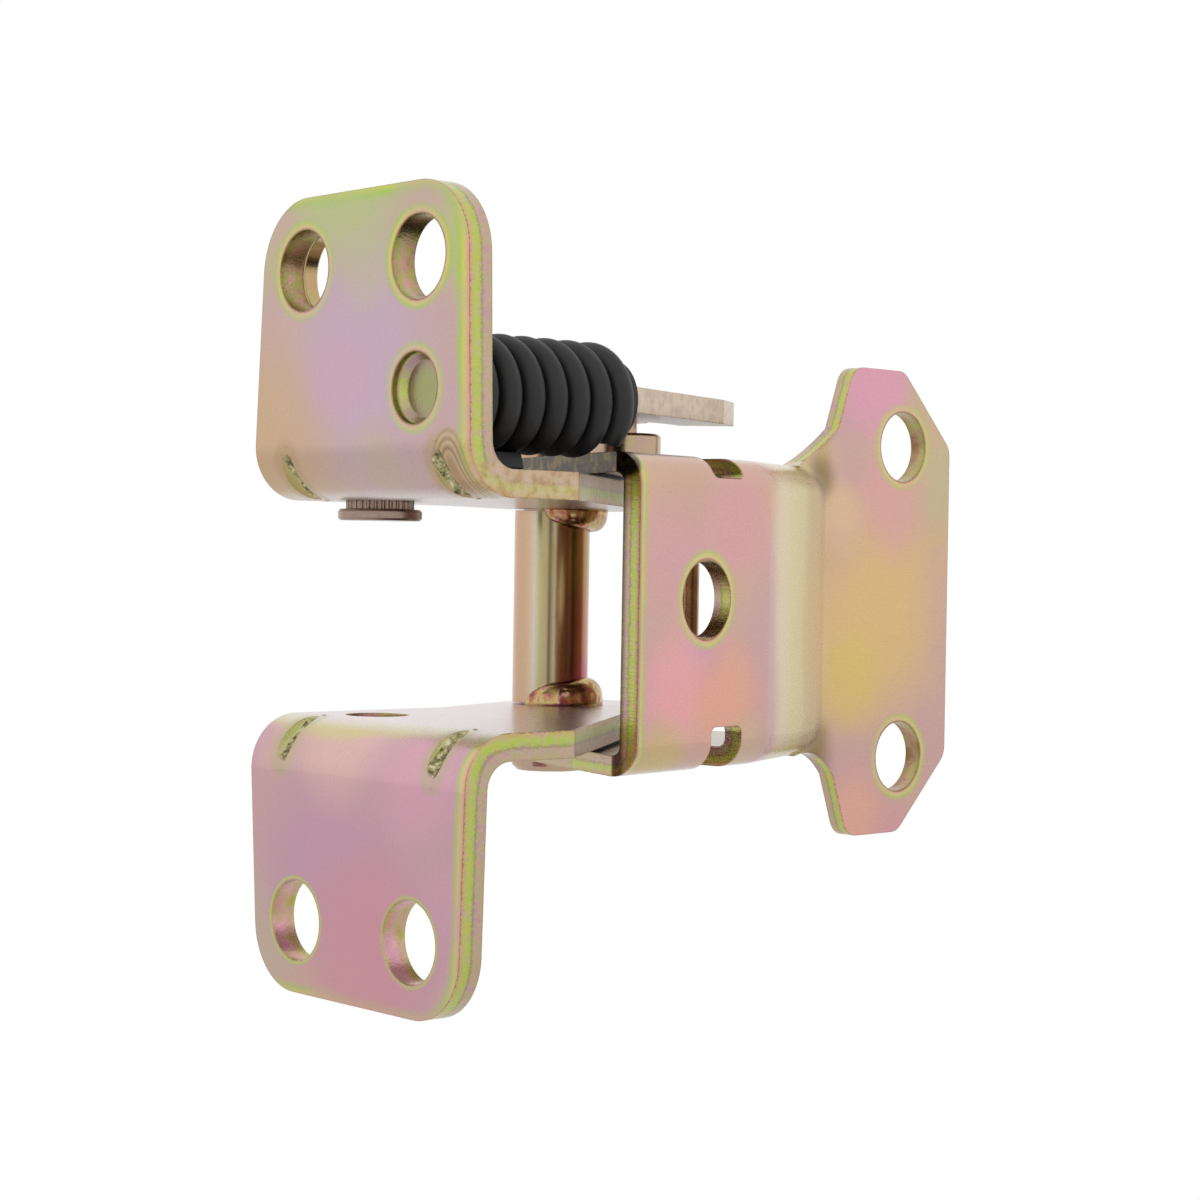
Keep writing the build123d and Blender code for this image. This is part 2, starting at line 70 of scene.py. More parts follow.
def addNode(tree, kind, sockets=None, ramp=None, **settings):
    # adds one node: settings are its options, sockets takes numbers, colours or nodes' outputs
    node = tree.nodes.new(kind)
    for key, value in settings.items():
        setattr(node, key, value)
    for key, value in (sockets or {}).items():
        if isinstance(value, bpy.types.NodeSocket):
            tree.links.new(value, node.inputs[key])
        else:
            node.inputs[key].default_value = value
    if ramp:
        while len(node.color_ramp.elements) < len(ramp):
            node.color_ramp.elements.new(0.5)
        for element, (position, colour) in zip(node.color_ramp.elements, ramp):
            element.position = position
            element.color = toLinear(colour)
    return node


def newMaterial(name):
    material = bpy.data.materials.new(name)
    material.use_nodes = True
    material.node_tree.nodes.clear()
    return material, material.node_tree


def depthInside(tree, place, sheets, ease):
    # how far a point is inside the nearest of the planes that bound each part of a stamping;
    # a plane is its outward normal and its offset in mm, and ease rounds the corners between them
    whole = None
    for planes in sheets:
        depth = None
        for normal, offset in planes:
            along = addNode(
                tree, "ShaderNodeVectorMath", {0: place, 1: normal}, operation="DOT_PRODUCT"
            ).outputs["Value"]
            gap = addNode(
                tree, "ShaderNodeMath", {0: offset, 1: along}, operation="SUBTRACT"
            ).outputs[0]
            if depth:
                gap = addNode(
                    tree, "ShaderNodeMath", {0: depth, 1: gap, 2: ease}, operation="SMOOTH_MIN"
                ).outputs[0]
            depth = gap
        if whole:
            depth = addNode(
                tree, "ShaderNodeMath", {0: whole, 1: depth}, operation="MAXIMUM"
            ).outputs[0]
        whole = depth
    return whole


def nearestBore(tree, place, bores):
    # how far a point is from the wall of the nearest punched hole
    nearest = None
    for middle, axis, radius in bores:
        away = addNode(tree, "ShaderNodeVectorMath", {0: place, 1: middle}, operation="SUBTRACT")
        away = addNode(
            tree, "ShaderNodeVectorMath", {0: away.outputs[0], 1: axis}, operation="CROSS_PRODUCT"
        )
        away = addNode(tree, "ShaderNodeVectorMath", {0: away.outputs[0]}, operation="LENGTH")
        gap = addNode(
            tree, "ShaderNodeMath", {0: away.outputs["Value"], 1: radius}, operation="SUBTRACT"
        ).outputs[0]
        if nearest:
            gap = addNode(
                tree, "ShaderNodeMath", {0: nearest, 1: gap}, operation="MINIMUM"
            ).outputs[0]
        nearest = gap
    return nearest


noiseSpan = (0.3, 0.7)  # nearly all of a noise lies between these


# Yellow passivated zinc: steel stamped from strip, plated, then dipped in a chromate bath.
# To the eye: satin metal under a thin film that drifts between gold, pink and green, and runs
# through green, yellow and salmon where the sheet rolls over towards a cut edge or a hole.
def passivatedZinc(look):
    material, tree = newMaterial(look["name"])
    coord = addNode(tree, "ShaderNodeTexCoord")
    place = addNode(
        tree,
        "ShaderNodeVectorMath",
        {0: coord.outputs["Object"], 1: (1 / mm,) * 3},
        operation="MULTIPLY",
    ).outputs[0]  # in millimetres
    normalParts = addNode(tree, "ShaderNodeSeparateXYZ", {0: coord.outputs["Normal"]})
    placeParts = addNode(tree, "ShaderNodeSeparateXYZ", {0: place})

    # clouds of the film, and a slow wander that breaks up the patches
    wander = addNode(
        tree,
        "ShaderNodeTexNoise",
        {"Scale": 1 / look["wanderSize"], "Detail": 2.0, "Vector": place},
    )
    drift = addNode(
        tree,
        "ShaderNodeVectorMath",
        {0: wander.outputs["Color"], 1: (0.5, 0.5, 0.5)},
        operation="SUBTRACT",
    )
    drifted = addNode(
        tree,
        "ShaderNodeVectorMath",
        {0: drift.outputs[0], 1: (look["wander"],) * 3, 2: place},
        operation="MULTIPLY_ADD",
    ).outputs[0]
    clouds = addNode(
        tree,
        "ShaderNodeTexNoise",
        {"Scale": 1 / look["cloudSize"], "Detail": 3.0, "Roughness": 0.45, "Vector": drifted},
    )
    film = addNode(
        tree, "ShaderNodeValToRGB", {0: clouds.outputs["Fac"]}, ramp=look["film"]
    ).outputs[0]
    film = addNode(
        tree,
        "ShaderNodeMix",
        {0: look["evenness"], 6: film, 7: toLinear(look["base"])},
        data_type="RGBA",
    ).outputs[2]

    # streaks that run the length of the piece, side by side: film colours with a painted highlight
    # and painted reflections
    if look["filmAndPaintedLightStreaks"]:
        streakTo = look["streakFrom"] + look["streakWidth"]
        across = addNode(
            tree,
            "ShaderNodeVectorMath",
            {0: place, 1: look["streakAcross"]},
            operation="DOT_PRODUCT",
        ).outputs["Value"]
        acrossPart = addNode(
            tree,
            "ShaderNodeMapRange",
            {0: across, 1: look["streakFrom"], 2: streakTo, 3: 0.0, 4: 1.0},
        ).outputs[0]
        filmAndPaintedLight = addNode(
            tree, "ShaderNodeValToRGB", {0: acrossPart}, ramp=look["filmAndPaintedLightStreaks"]
        ).outputs[0]
        film = addNode(
            tree,
            "ShaderNodeMix",
            {0: look["streakStrength"], 6: film, 7: filmAndPaintedLight},
            data_type="RGBA",
        ).outputs[2]

    # places where the dip ran thicker or thinner, and painted shade in the door bracket's coves,
    # round a point or, with an axis, along a line
    for colour, middle, radius, strength, *axis in look["patches"]:
        if axis:
            reach = nearestBore(tree, drifted, [(middle, axis[0], 0.0)])
        else:
            reach = addNode(
                tree, "ShaderNodeVectorMath", {0: drifted, 1: middle}, operation="DISTANCE"
            ).outputs["Value"]
        amount = addNode(
            tree,
            "ShaderNodeMapRange",
            {0: reach, 1: radius * look["patchCore"], 2: radius, 3: strength, 4: 0.0},
            interpolation_type="SMOOTHSTEP",
        ).outputs[0]
        film = addNode(
            tree, "ShaderNodeMix", {0: amount, 6: film, 7: toLinear(colour)}, data_type="RGBA"
        ).outputs[2]

    # bands of the film beside holes and cut edges
    boreGap = nearestBore(tree, place, look["bores"])
    edgeGap = depthInside(tree, place, look["outline"], look["cornerEase"])
    rimGap = addNode(
        tree, "ShaderNodeMath", {0: boreGap, 1: look["boreBandScale"]}, operation="MULTIPLY"
    ).outputs[0]
    rimGap = addNode(
        tree, "ShaderNodeMath", {0: rimGap, 1: edgeGap}, operation="MINIMUM"
    ).outputs[0]
    wobble = addNode(
        tree,
        "ShaderNodeTexNoise",
        {"Scale": 1 / look["bandWobbleSize"], "Detail": 3.0, "Vector": place},
    )
    wobbleMm = addNode(
        tree,
        "ShaderNodeMath",
        {0: wobble.outputs["Fac"], 1: look["bandWobble"], 2: -0.5 * look["bandWobble"]},
        operation="MULTIPLY_ADD",
    ).outputs[0]
    bandPlace = addNode(
        tree, "ShaderNodeMath", {0: rimGap, 1: wobbleMm}, operation="ADD"
    ).outputs[0]
    bandPart = addNode(
        tree, "ShaderNodeMapRange", {0: bandPlace, 1: 0.0, 2: look["bandWidth"], 3: 0.0, 4: 1.0}
    ).outputs[0]
    band = addNode(tree, "ShaderNodeValToRGB", {0: bandPart}, ramp=look["bands"]).outputs[0]
    bandAmount = addNode(
        tree,
        "ShaderNodeMapRange",
        {0: bandPart, 1: look["bandHold"], 2: 1.0, 3: look["bandStrength"], 4: 0.0},
        interpolation_type="SMOOTHSTEP",
    ).outputs[0]
    weakAt, fullAt = look["bandTurn"]
    uneven = addNode(
        tree,
        "ShaderNodeMapRange",
        {0: wander.outputs["Fac"], 1: weakAt, 2: fullAt, 3: look["bandLeast"], 4: 1.0},
        interpolation_type="SMOOTHSTEP",
    ).outputs[0]
    bandAmount = addNode(
        tree, "ShaderNodeMath", {0: bandAmount, 1: uneven}, operation="MULTIPLY"
    ).outputs[0]
    film = addNode(
        tree, "ShaderNodeMix", {0: bandAmount, 6: film, 7: band}, data_type="RGBA"
    ).outputs[2]

    # painted light: flat tops and undersides take a pale colour, a painted reflection of the white
    # room at a slant; on the check lever this colour is darker, a painted shade
    upright = addNode(
        tree, "ShaderNodeMath", {0: normalParts.outputs["Z"]}, operation="ABSOLUTE"
    ).outputs[0]
    tilted, level = look["levelPaintedLightTurn"]
    levelPaintedLightAmount = addNode(
        tree,
        "ShaderNodeMapRange",
        {0: upright, 1: tilted, 2: level, 3: 0.0, 4: look["levelPaintedLightStrength"]},
        interpolation_type="SMOOTHSTEP",
    ).outputs[0]
    film = addNode(
        tree, "ShaderNodeMix", {0: levelPaintedLightAmount, 6: film, 7: toLinear(look["levelPaintedLight"])}, data_type="RGBA"
    ).outputs[2]

    # painted shade: the inner face of the sheet, inside bends and the channel, turns darker and
    # browner
    through = depthInside(tree, place, look["outerFaces"], look["bendEase"])
    skinFrom, skinTo = [look["sheet"] - under for under in look["insideSkin"]]
    insideAmount = addNode(
        tree,
        "ShaderNodeMapRange",
        {0: through, 1: skinFrom, 2: skinTo, 3: 0.0, 4: look["insideStrength"]},
        interpolation_type="SMOOTHSTEP",
    ).outputs[0]
    film = addNode(
        tree,
        "ShaderNodeMix",
        {0: insideAmount, 6: film, 7: toLinear(look["inside"])},
        data_type="RGBA",
    ).outputs[2]

    # sheared faces, found by where they look, and the holes' own walls
    boreFace = addNode(tree, "ShaderNodeMath", {0: boreGap}, operation="ABSOLUTE").outputs[0]
    wallFull, wallEnd = look["wallReach"]
    wall = addNode(
        tree,
        "ShaderNodeMapRange",
        {0: boreFace, 1: wallFull, 2: wallEnd, 3: 1.0, 4: 0.0},
        interpolation_type="SMOOTHSTEP",
    ).outputs[0]
    cut = wall
    for rule in look["cuts"]:
        turned = addNode(
            tree, "ShaderNodeMath", {0: normalParts.outputs[rule["normal"]]}, operation="ABSOLUTE"
        ).outputs[0]
        part = addNode(
            tree,
            "ShaderNodeMapRange",
            {0: turned, 1: rule["from"], 2: rule["to"], 3: 0.0, 4: 1.0},
            interpolation_type="SMOOTHSTEP",
        ).outputs[0]
        for axis, low, high in rule.get("zone", []):
            along = placeParts.outputs[axis]
            above = addNode(
                tree, "ShaderNodeMath", {0: along, 1: low}, operation="GREATER_THAN"
            ).outputs[0]
            below = addNode(
                tree, "ShaderNodeMath", {0: along, 1: high}, operation="LESS_THAN"
            ).outputs[0]
            for side in (above, below):
                part = addNode(
                    tree, "ShaderNodeMath", {0: part, 1: side}, operation="MULTIPLY"
                ).outputs[0]
        cut = addNode(tree, "ShaderNodeMath", {0: cut, 1: part}, operation="MAXIMUM").outputs[0]

    # the burnished band by the punch side, a torn line, and the grey fracture behind it
    shearPlace = addNode(
        tree, "ShaderNodeVectorMath", {0: place, 1: look["shear"]}, operation="MULTIPLY"
    ).outputs[0]
    shearLines = addNode(
        tree,
        "ShaderNodeTexNoise",
        {"Scale": 1.0, "Detail": 3.0, "Roughness": 0.65, "Vector": shearPlace},
    )
    torn = addNode(
        tree,
        "ShaderNodeMath",
        {0: shearLines.outputs["Fac"], 1: look["tear"], 2: -0.5 * look["tear"]},
        operation="MULTIPLY_ADD",
    ).outputs[0]
    torn = addNode(tree, "ShaderNodeMath", {0: through, 1: torn}, operation="ADD").outputs[0]
    tornPart = addNode(
        tree, "ShaderNodeMapRange", {0: torn, 1: 0.0, 2: look["sheet"], 3: 0.0, 4: 1.0}
    ).outputs[0]
    cutFilm = addNode(tree, "ShaderNodeValToRGB", {0: tornPart}, ramp=look["cutFilm"]).outputs[0]
    mottle = addNode(
        tree,
        "ShaderNodeTexNoise",
        {"Scale": 1 / look["spotSize"], "Detail": 3.0, "Vector": place},
    )
    spots = addNode(
        tree, "ShaderNodeValToRGB", {0: mottle.outputs["Fac"]}, ramp=look["cutSpots"]
    ).outputs[0]
    cutFilm = addNode(
        tree, "ShaderNodeMix", {0: look["spotAmount"], 6: cutFilm, 7: spots}, data_type="RGBA"
    ).outputs[2]
    # the holes' walls: film colours, with darker browns that are partly painted shade
    wallFilmAndShade = addNode(tree, "ShaderNodeValToRGB", {0: tornPart}, ramp=look["wallFilmAndShade"]).outputs[0]
    wallCloudsAndShade = addNode(
        tree,
        "ShaderNodeTexNoise",
        {"Scale": 1 / look["wallCloudSize"], "Detail": 3.0, "Vector": place},
    )
    wallCloudsAndShade = addNode(
        tree, "ShaderNodeValToRGB", {0: wallCloudsAndShade.outputs["Fac"]}, ramp=look["wallCloudsAndShade"]
    ).outputs[0]
    wallFilmAndShade = addNode(
        tree,
        "ShaderNodeMix",
        {0: look["wallCloudAmount"], 6: wallFilmAndShade, 7: wallCloudsAndShade},
        data_type="RGBA",
    ).outputs[2]
    cutFilm = addNode(
        tree, "ShaderNodeMix", {0: wall, 6: cutFilm, 7: wallFilmAndShade}, data_type="RGBA"
    ).outputs[2]
    film = addNode(
        tree, "ShaderNodeMix", {0: cut, 6: film, 7: cutFilm}, data_type="RGBA"
    ).outputs[2]

    # stains and painted shade on a cut edge, each round a line
    stainFull, stainEnd = look["stainEase"]
    for point, axis, radius, strength in look["stainsAndShade"]:
        stainGap = nearestBore(tree, place, [(point, axis, radius)])
        amount = addNode(
            tree,
            "ShaderNodeMapRange",
            {0: stainGap, 1: stainFull, 2: stainEnd, 3: strength, 4: 0.0},
            interpolation_type="SMOOTHSTEP",
        ).outputs[0]
        stainAndShade = addNode(
            tree, "ShaderNodeValToRGB", {0: mottle.outputs["Fac"]}, ramp=look["stainAndShadeFilm"]
        ).outputs[0]
        film = addNode(
            tree, "ShaderNodeMix", {0: amount, 6: film, 7: stainAndShade}, data_type="RGBA"
        ).outputs[2]

    # coined pits along the pressed darts, in a worn halo
    pitHeight = addNode(
        tree,
        "ShaderNodeTexNoise",
        {"Scale": 1 / look["pitSize"], "Detail": 4.0, "Roughness": 0.7, "Vector": place},
    ).outputs["Fac"]
    pitted = 0.0
    if look["darts"]:
        dartGap = nearestBore(tree, place, look["darts"])
        aside = addNode(
            tree, "ShaderNodeMath", {0: placeParts.outputs["Y"]}, operation="ABSOLUTE"
        ).outputs[0]
        pitted = addNode(
            tree,
            "ShaderNodeMath",
            {0: aside, 1: look["dartSide"], 2: look["dartHalfWidth"]},
            operation="COMPARE",
        ).outputs[0]
        outside = addNode(
            tree, "ShaderNodeMath", {0: through, 1: look["pitLimit"]}, operation="LESS_THAN"
        ).outputs[0]
        pitFrom, pitTo = look["pitDepth"]
        sunken = addNode(
            tree,
            "ShaderNodeMapRange",
            {0: through, 1: pitFrom, 2: pitTo, 3: 0.0, 4: 1.0},
            interpolation_type="SMOOTHSTEP",
        ).outputs[0]
        inDart = addNode(
            tree, "ShaderNodeMath", {0: dartGap, 1: look["pitReach"]}, operation="LESS_THAN"
        ).outputs[0]
        for condition in (inDart, outside, sunken):
            pitted = addNode(
                tree, "ShaderNodeMath", {0: pitted, 1: condition}, operation="MULTIPLY"
            ).outputs[0]
        haloFull, haloEnd = look["haloReach"]
        halo = addNode(
            tree,
            "ShaderNodeMapRange",
            {0: dartGap, 1: haloFull, 2: haloEnd, 3: look["haloStrength"], 4: 0.0},
            interpolation_type="SMOOTHSTEP",
        ).outputs[0]
        film = addNode(
            tree,
            "ShaderNodeMix",
            {0: halo, 6: film, 7: toLinear(look["dartHalo"])},
            data_type="RGBA",
        ).outputs[2]
        pitFilm = addNode(
            tree, "ShaderNodeValToRGB", {0: pitHeight}, ramp=look["pitFilm"]
        ).outputs[0]
        film = addNode(
            tree, "ShaderNodeMix", {0: pitted, 6: film, 7: pitFilm}, data_type="RGBA"
        ).outputs[2]

    # ridges that the press left round a dart, one outside the other
    if look["ridges"]:
        ridgeGap = nearestBore(tree, place, look["ridges"])
        ridgePart = addNode(
            tree,
            "ShaderNodeMapRange",
            {0: ridgeGap, 1: 0.0, 2: look["ridgeReach"], 3: 0.0, 4: 1.0},
        ).outputs[0]
        ridgeFilm = addNode(
            tree, "ShaderNodeValToRGB", {0: ridgePart}, ramp=look["ridgeFilm"]
        ).outputs[0]
        fadeFrom, fadeTo = look["ridgeFade"]
        amount = addNode(
            tree,
            "ShaderNodeMapRange",
            {0: ridgePart, 1: fadeFrom, 2: fadeTo, 3: look["ridgeStrength"], 4: 0.0},
            interpolation_type="SMOOTHSTEP",
        ).outputs[0]
        for mask in (pitted, cut):
            clear = addNode(
                tree, "ShaderNodeMath", {0: 1.0, 1: mask}, operation="SUBTRACT"
            ).outputs[0]
            amount = addNode(
                tree, "ShaderNodeMath", {0: amount, 1: clear}, operation="MULTIPLY"
            ).outputs[0]
        film = addNode(
            tree, "ShaderNodeMix", {0: amount, 6: film, 7: ridgeFilm}, data_type="RGBA"
        ).outputs[2]

    # rolling grain, stretched along the strip
    grainPlace = addNode(
        tree, "ShaderNodeVectorMath", {0: place, 1: look["grain"]}, operation="MULTIPLY"
    ).outputs[0]
    grain = addNode(
        tree,
        "ShaderNodeTexNoise",
        {"Scale": 1.0, "Detail": 4.0, "Roughness": 0.6, "Vector": grainPlace},
    )
    speck = addNode(
        tree,
        "ShaderNodeTexNoise",
        {"Scale": 1 / look["speckSize"], "Detail": 3.0, "Roughness": 0.7, "Vector": place},
    )
    dark, bright = 1.0 - look["speckShade"], 1.0 + look["speckShade"]
    shade = addNode(
        tree,
        "ShaderNodeMapRange",
        {0: speck.outputs["Fac"], 1: noiseSpan[0], 2: noiseSpan[1], 3: dark, 4: bright},
    ).outputs[0]
    film = addNode(
        tree, "ShaderNodeVectorMath", {0: film, 1: shade}, operation="MULTIPLY"
    ).outputs[0]

    # relief: rolled skin, shear lines on the cuts and tool marks in the pits
    surface = addNode(
        tree, "ShaderNodeMix", {0: cut, 2: grain.outputs["Fac"], 3: shearLines.outputs["Fac"]}
    ).outputs[0]
    surface = addNode(tree, "ShaderNodeMix", {0: pitted, 2: surface, 3: pitHeight}).outputs[0]
    depth = addNode(
        tree, "ShaderNodeMapRange", {0: cut, 1: 0.0, 2: 1.0, 3: look["bump"], 4: look["cutBump"]}
    ).outputs[0]
    depth = addNode(tree, "ShaderNodeMath", {0: depth, 1: pitted}, operation="MAXIMUM").outputs[0]

    # edges and folds are rounded for the light only, by less than a sheet's thickness
    softEdge = addNode(
        tree, "ShaderNodeBevel", {"Radius": look["edgeRound"] * mm}, samples=4
    ).outputs[0]
    if look["folds"]:
        foldGap = nearestBore(tree, place, look["folds"])
        foldFull, foldEnd = look["foldReach"]
        byFold = addNode(
            tree,
            "ShaderNodeMapRange",
            {0: foldGap, 1: foldFull, 2: foldEnd, 3: 1.0, 4: 0.0},
            interpolation_type="SMOOTHSTEP",
        ).outputs[0]
        softFold = addNode(tree, "ShaderNodeBevel", {"Radius": look["foldRound"] * mm}, samples=6)
        softEdge = addNode(
            tree,
            "ShaderNodeMix",
            {0: byFold, 4: softEdge, 5: softFold.outputs[0]},
            data_type="VECTOR",
        ).outputs[1]
    bump = addNode(
        tree,
        "ShaderNodeBump",
        {
            "Strength": depth,
            "Distance": look["bumpHeight"] * mm,
            "Height": surface,
            "Normal": softEdge,
        },
    )
    fine = addNode(
        tree,
        "ShaderNodeBump",
        {
            "Strength": look["speckBump"],
            "Distance": look["speckHeight"] * mm,
            "Height": speck.outputs["Fac"],
            "Normal": bump.outputs[0],
        },
    )
    smooth, rough = look["gloss"]
    roughness = addNode(
        tree,
        "ShaderNodeMapRange",
        {0: grain.outputs["Fac"], 1: noiseSpan[0], 2: noiseSpan[1], 3: smooth, 4: rough},
    ).outputs[0]
    shader = addNode(
        tree,
        "ShaderNodeBsdfPrincipled",
        {
            "Metallic": 1.0,
            "Coat Weight": look["gel"],
            "Coat Roughness": look["gelRoughness"],
            "Base Color": film,
            "Roughness": roughness,
            "Normal": fine.outputs[0],
        },
    )
    addNode(tree, "ShaderNodeOutputMaterial", {0: shader.outputs[0]})
    return material


# What every plated piece starts from. Lengths are in mm, and a pair is where a change starts and
# ends. A plane is its outward normal and offset, a hole or line a point, its direction and radius.
zincLook = {
    "base": "#c6a9a0",
    "film": [
        (0.28, "#c2a894"),
        (0.42, "#c3a0ab"),
        (0.5, "#c6a8a4"),
        (0.6, "#cbb48c"),
        (0.74, "#b9bd90"),
    ],
    "cloudSize": 38.0,
    "wanderSize": 22.0,
    "wander": 9.0,
    "evenness": 0.45,
    "patches": [],  # colour, middle, radius, strength, and a direction where one runs along a line
    "patchCore": 0.25,  # the part of its radius that has its full strength
    "filmAndPaintedLightStreaks": [],
    "streakStrength": 0.85,
    "bands": [
        (0.0, "#8f6548"),
        (0.05, "#dc9c86"),
        (0.2, "#dcb78c"),
        (0.36, "#cfcb72"),
        (0.62, "#aac75e"),
    ],
    "bandWidth": 3.6,
    "bandHold": 0.45,
    "bandStrength": 0.8,
    "bandLeast": 0.35,
    "bandTurn": (0.4, 0.56),  # of the wander's noise, from weak bands to strong ones
    "bandWobble": 0.7,
    "bandWobbleSize": 4.0,
    "boreBandScale": 1.9,
    # painted reflection: the pale colour that flat tops and undersides take
    "levelPaintedLight": "#e2dfdc",
    "levelPaintedLightStrength": 0.55,
    "levelPaintedLightTurn": (0.8, 0.99),  # of the normal's upright part
    # painted shade: darker brown on the inner face of the sheet
    "inside": "#8d6e4c",
    "insideStrength": 0.2,
    "insideSkin": (0.5, 0.1),  # under the inner face
    "darts": [],
    "dartHalo": "#b89c72",
    "haloStrength": 0.6,
    "haloReach": (0.1, 1.6),
    "dartSide": 17.8,
    "dartHalfWidth": 1.3,
    "pitSize": 0.9,  # tool marks
    "pitDepth": (0.22, 0.47),
    "pitReach": 0.5,
    "pitLimit": 2.0,
    "pitFilm": [(0.38, "#57503c"), (0.48, "#8f8a5c"), (0.56, "#b7ab82"), (0.66, "#d6d0ae")],
    "ridges": [],
    "ridgeReach": 3.4,
    "ridgeStrength": 0.75,
    "ridgeFade": (0.6, 0.98),  # of the ridges' reach
    "ridgeFilm": [
        (0.0, "#a8895a"),
        (0.16, "#c8ac7c"),
        (0.24, "#8d7048"),
        (0.38, "#cbb488"),
        (0.48, "#937a4e"),
        (0.62, "#c6b084"),
        (0.72, "#9c8656"),
        (0.9, "#bfae84"),
    ],
    "wallReach": (0.12, 0.3),
    # the darker browns of the holes' walls are partly painted shade
    "wallFilmAndShade": [
        (0.0, "#a07a52"),
        (0.15, "#9dae48"),
        (0.4, "#c9998c"),
        (0.7, "#a88a5a"),
        (1.0, "#8a6a44"),
    ],
    "wallCloudsAndShade": [(0.38, "#7f6238"), (0.47, "#b58f7e"), (0.55, "#9aae4c"), (0.64, "#c9a08e")],
    "wallCloudSize": 4.0,
    "wallCloudAmount": 0.5,
    "stainsAndShade": [],
    "stainEase": (-0.6, 0.4),
    # dark browns: painted shade on the door bracket's cut edges
    "stainAndShadeFilm": [(0.4, "#1b1610"), (0.52, "#33291a"), (0.62, "#65532b")],
    "folds": [],
    "foldRound": 3.0,
    "foldReach": (2.0, 4.5),
    "outline": [[((0, 0, 1), 900)]],
    "cornerEase": 12.0,
    "bores": [((0, 0, 900), (0, 0, 1), 1.0)],
    "outerFaces": [[((0, 0, -1), 900)]],
    "bendEase": 4.0,
    "sheet": 4.0,
    "tear": 1.1,
    "cuts": [],  # where a normal's part tells a sheared face, and the zone that it holds in
    "cutFilm": [
        (0.0, "#6e5638"),
        (0.05, "#d3ad72"),
        (0.16, "#cdbb7c"),
        (0.28, "#bcd14c"),
        (0.46, "#b4c858"),
        (0.54, "#93835e"),
        (0.62, "#c2a69c"),
        (1.0, "#c4a68c"),
    ],
    "cutSpots": [(0.36, "#bd8fa2"), (0.46, "#c3a98c"), (0.55, "#a4b468"), (0.66, "#c9a676")],
    "spotAmount": 0.4,
    "spotSize": 1.6,  # spots of the fracture
    "grain": (0.6, 5.0, 0.12),  # rolling lines to the mm along x, y and z
    "shear": (2.6, 0.25, 2.6),  # shear lines to the mm
    "speckShade": 0.05,
    "speckSize": 0.35,  # orange peel of the plating
    "speckBump": 0.12,
    "speckHeight": 0.03,
    "bump": 0.2,
    "cutBump": 0.9,
    "bumpHeight": 0.08,
    "edgeRound": 0.4,
    "gel": 0.2,  # the clear top layer of the passivation
    "gelRoughness": 0.12,
    "gloss": (0.24, 0.33),
}

# Upper pillar plate. To the eye: rose and straw over steel, with a broad rim of green and gold
upperPlateLook = zincLook | {
    "name": "passivatedZincUpperPlate",
    "patches": [
        ("#c3a8ba", (0, 0, 34), 22.0, 0.9),
        ("#c8a884", (0, 27, 20), 26.0, 0.85),
        ("#b5bd86", (0, 4, 62), 19.0, 0.95),
        ("#b6bf7c", (0, -27, 52), 15.0, 0.85),
        ("#b9b894", (0, -2, 48), 9.0, 0.5),
        ("#cba2b4", (0, 4, 32), 11.0, 0.6),
        ("#bfb28c", (0, 27, 50), 12.0, 0.85),
        ("#a9c47c", (0, -13.1, 29.7), 6.0, 0.9),
        ("#c1af97", (0, -4, 18), 9.0, 0.6),
    ],
    "bands": [
        (0.0, "#8f6548"),
        (0.05, "#dc9c86"),
        (0.2, "#dab483"),
        (0.36, "#cbcb60"),
        (0.62, "#a2c648"),
    ],
    "bandLeast": 0.5,
    "bandStrength": 0.88,
    "ridges": [((2.2, -20.6, 16.6), (0.7071, 0, -0.7071), 0.9)],
    "stainsAndShade": [((0, -26.0, 16.4), (1, 0, 0), 2.9, 0.6)],
    "stainAndShadeFilm": [(0.4, "#b3935f"), (0.5, "#c9ae88"), (0.62, "#d3b3a4")],
    "outline": [
        [
            ((0, -0.9996, 0.0272), 26.19),
            ((0, 0, 1), 59.9),
            ((0.79, -0.613, 0), 31.33),
        ]
    ],
    "bores": [
        ((0, 13.65, 48), (1, 0, 0), 6.0),
        ((0, -13.65, 48), (1, 0, 0), 6.0),
        ((0, -13.1, 29.7), (1, 0, 0), 5.1),
        ((15.7, 15.05, 0), (0, 0, 1), 4.8),
    ],
    "outerFaces": [[((-1, 0, 0), 0), ((0, 0, -1), -14.4)]],
    "bendEase": 9.4,
    "darts": [
        ((2.2, -18.0, 16.6), (0.7071, 0, -0.7071), 2.3),
        ((2.2, 18.0, 16.6), (0.7071, 0, -0.7071), 2.3),
    ],
    "cuts": [
        {"normal": 1, "from": 0.45, "to": 0.75},
        {"normal": 0, "from": 0.6, "to": 0.4, "zone": [(2, 35.5, 70.0)]},
        {"normal": 2, "from": 0.6, "to": 0.4, "zone": [(0, 9.0, 90.0)]},
    ],
}

